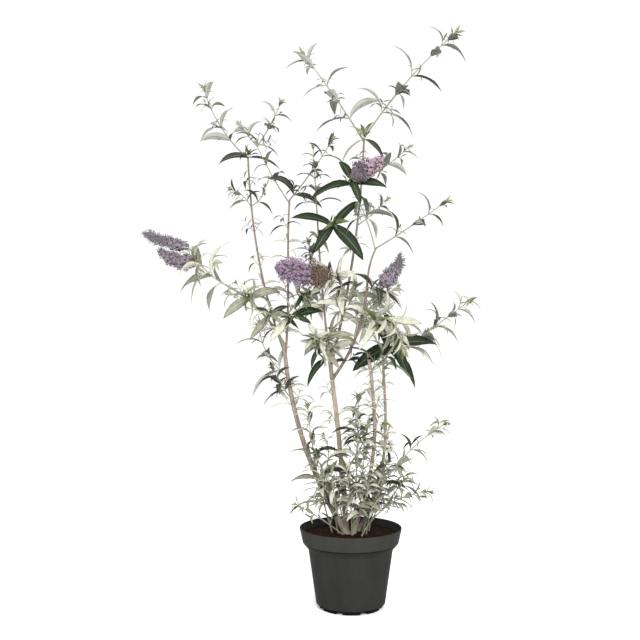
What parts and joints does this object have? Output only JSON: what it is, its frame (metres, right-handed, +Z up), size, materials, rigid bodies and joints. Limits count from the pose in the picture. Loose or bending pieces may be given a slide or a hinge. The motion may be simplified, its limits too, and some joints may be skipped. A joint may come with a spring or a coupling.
{
  "type": "butterfly bush in a nursery pot",
  "caption": "Whole butterfly bush with tapering stems, narrow opposite leaves and mauve flower spikes, growing in a round dark plastic pot filled with compost.",
  "frame": {"origin": "centre of the pot's flat underside", "axes": "+Z up, along the plant's height; +X to the right of the side with the centre flower spike; +Y away from that side"},
  "size_m": [0.6946, 0.3191, 1.1947],
  "materials": {
    "pot": "moulded satin dark grey plastic",
    "compost": "moist dark brown potting compost, crumbly",
    "bark": "pale tan bark on old stems, reddish brown to grey green on young ones",
    "foliage": "matt grey green leaves, darker above and paler and felted beneath",
    "blossom": "small lilac to mauve florets, faded brown at the foot of each spike"
  },
  "bodies": {
    "root": {"pot": "pot", "compost": "compost", "trunk": "bark", "stem_left": "bark", "stem_right_front": "bark", "stem_right_back": "bark", "bough_upright": "bark", "bough_centre": "bark", "bough_inner": "bark", "bough_right": "bark", "bough_left": "bark", "bough_left_tall": "bark", "bough_centre_left": "bark", "foliage_base_back": "foliage", "foliage_base_back_left": "foliage", "foliage_base_back_right": "foliage", "foliage_base_front_left": "foliage", "foliage_base_front_right": "foliage", "foliage_base_left": "foliage", "foliage_base_middle": "foliage", "foliage_base_right": "foliage", "foliage_below_cut": "foliage", "foliage_bloom_centre": "foliage", "foliage_bloom_right": "foliage", "foliage_bloom_top": "foliage", "foliage_centre": "foliage", "foliage_centre_front": "foliage", "foliage_centre_left": "foliage", "foliage_centre_low": "foliage", "foliage_centre_mid": "foliage", "foliage_fork": "foliage", "foliage_inner_back": "foliage", "foliage_inner_front": "foliage", "foliage_inner_left": "foliage", "foliage_inner_right": "foliage", "foliage_left_arm": "foliage", "foliage_left_bend": "foliage", "foliage_left_bend_low": "foliage", "foliage_left_fork": "foliage", "foliage_left_tall": "foliage", "foliage_low_front": "foliage", "foliage_low_left": "foliage", "foliage_low_right": "foliage", "foliage_mid_back": "foliage", "foliage_mid_front": "foliage", "foliage_mid_left": "foliage", "foliage_mid_low": "foliage", "foliage_right": "foliage", "foliage_right_arm": "foliage", "foliage_right_low": "foliage", "foliage_stem_low": "foliage", "foliage_tall_fork": "foliage", "foliage_tall_low": "foliage", "foliage_top_fork": "foliage", "foliage_top_left": "foliage", "foliage_top_right": "foliage", "foliage_trunk_low": "foliage", "foliage_upper_back": "foliage", "foliage_upright": "foliage", "foliage_upright_low": "foliage"}
  },
  "joints": []
}
